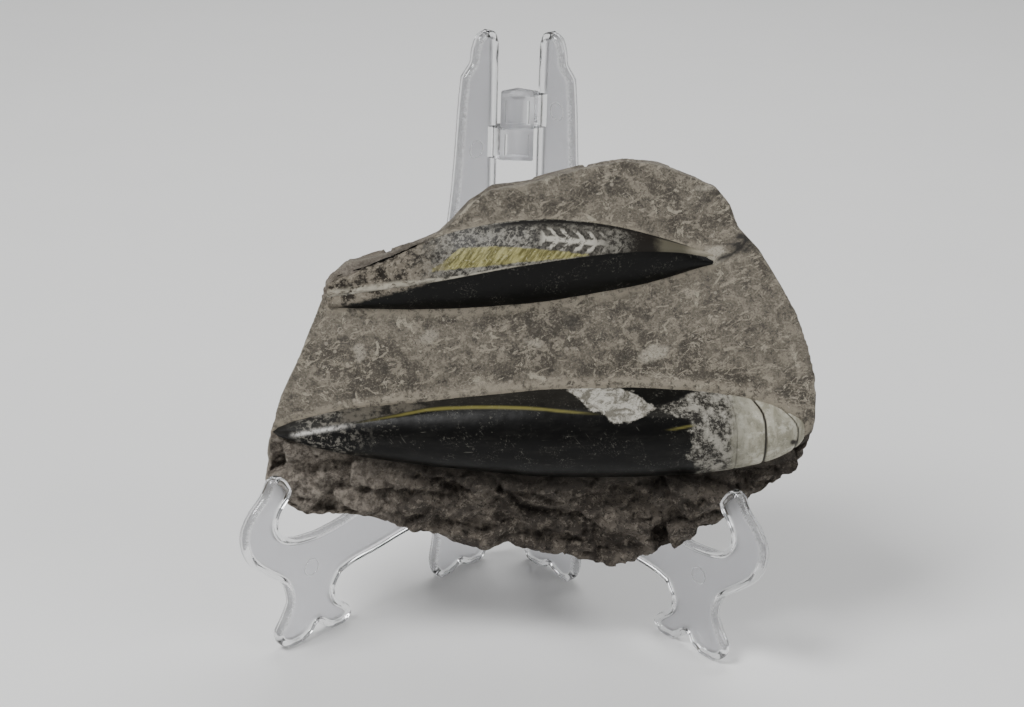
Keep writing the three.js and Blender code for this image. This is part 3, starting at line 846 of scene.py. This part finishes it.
def rod_mesh(radius, bottom, top):
    bm = bmesh.new()
    bmesh.ops.create_cone(
        bm, cap_ends=True, segments=32, radius1=radius, radius2=radius, depth=top - bottom,
        matrix=Matrix.Translation((0, 0, (bottom + top) / 2)))
    return bm


def ring_mesh(x, y):
    """The witness of a round ejector pin, a fine raised ring on the inner panel."""
    bm = bmesh.new()
    bmesh.ops.create_circle(
        bm, segments=8, radius=0.16, matrix=Matrix.Rotation(radians(90), 4, "X"))
    bmesh.ops.translate(bm, vec=(2.3, 0, 0), verts=bm.verts)
    bmesh.ops.spin(
        bm, geom=[*bm.verts, *bm.edges], cent=(0, 0, 0), axis=(0, 0, 1), angle=radians(360),
        steps=40, use_merge=True)
    bmesh.ops.translate(bm, vec=(x, y, 0.5), verts=bm.verts)
    return bm


def placed(bm, matrix, name="part"):
    bm.transform(matrix)
    return piece(name, bm, clear_plastic, frosted_plastic)


def combine(base, operation, parts):
    """Joins the parts to a piece, or cuts them from it, and applies the result."""
    for part in parts:
        change = base.modifiers.new(part.name, "BOOLEAN")
        change.operation = operation
        change.solver = "EXACT"
        change.object = part
    bpy.context.view_layer.update()
    base.data = bpy.data.meshes.new_from_object(
        base.evaluated_get(bpy.context.evaluated_depsgraph_get()))
    base.modifiers.clear()
    for part in parts:
        bpy.data.objects.remove(part)


paint = Paint("clear_plastic")
clear_plastic = paint.finish(
    base_color=(0.97, 0.975, 0.98),
    roughness=paint.step(paint.noise(0.25, 3), 0.3, 0.7, (0.03, 0.09)),
    normal=paint.bump(paint.noise(0.12, 3), 0.10, 0.5),
    ior=1.59, transmission_weight=1.0,
)
paint = Paint("frosted_plastic")
frosted_plastic = paint.finish(
    base_color=(0.80, 0.80, 0.83),
    roughness=paint.step(paint.noise(3.0, 2), 0.35, 0.65, (0.38, 0.55)),
    normal=paint.bump(paint.noise(3.2, 3, 0.7), 0.09, 0.9),
    ior=1.59, transmission_weight=1.0,
)

on_hinge = Matrix.Translation(Vector((hinge.x, hinge.y, 0))) @ Matrix.Scale(0.001, 4)
lower_knuckle, upper_knuckle, peg_top, peg_radius = (117.5, 125.8), (126.1, 134.8), 133.2, 1.6
web = ((0.4, 0.8), (3.6, 0.8), (2.3, -4.1), (-2.4, -4.1), (-5.0, -1.5))
rings = {"left": [(64.8, 20.8), (7.6, 120.5)], "right": [(65.6, 22.2), (7.2, 131.1)]}

for hand, side, knuckle, body in (
    ("left", -1, lower_knuckle, "display"), ("right", 1, upper_knuckle, "right_half"),
):
    lean = open_angle / 2
    forward = Vector((side * sin(lean), -cos(lean), 0))
    outward = Vector((side * cos(lean), sin(lean), 0))
    plate_frame = Matrix.Translation(easel + Vector((side * plate_spread * 0.001, 0, 0))) @ (
        Matrix((forward, Vector((0, 0, 1)), outward)).transposed().to_4x4()
        @ Matrix.Scale(0.001, 4))
    web_block = block(web, *knuckle)
    web_block.transform(Matrix(((1, 0, 0, 0), (0, 0, 1, 0), (0, 1, 0, 0), (0, 0, 0, 1))))
    parts = [placed(knuckle_mesh(*knuckle), on_hinge), placed(web_block, plate_frame)]
    parts += [placed(ring_mesh(*place), plate_frame) for place in rings[hand]]
    if hand == "left":
        parts.append(placed(rod_mesh(peg_radius, knuckle[0] + 1, peg_top), on_hinge))
    half = placed(plate_mesh(), plate_frame, hand + "_easel_half")
    combine(half, "UNION", parts)
    if hand == "right":
        combine(half, "DIFFERENCE", [
            placed(rod_mesh(peg_radius + 0.3, knuckle[0] - 1, peg_top + 0.3), on_hinge)])
    half.data.set_sharp_from_angle(angle=radians(38))
    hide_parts("easel_" + hand + "_half")
    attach(half, body)
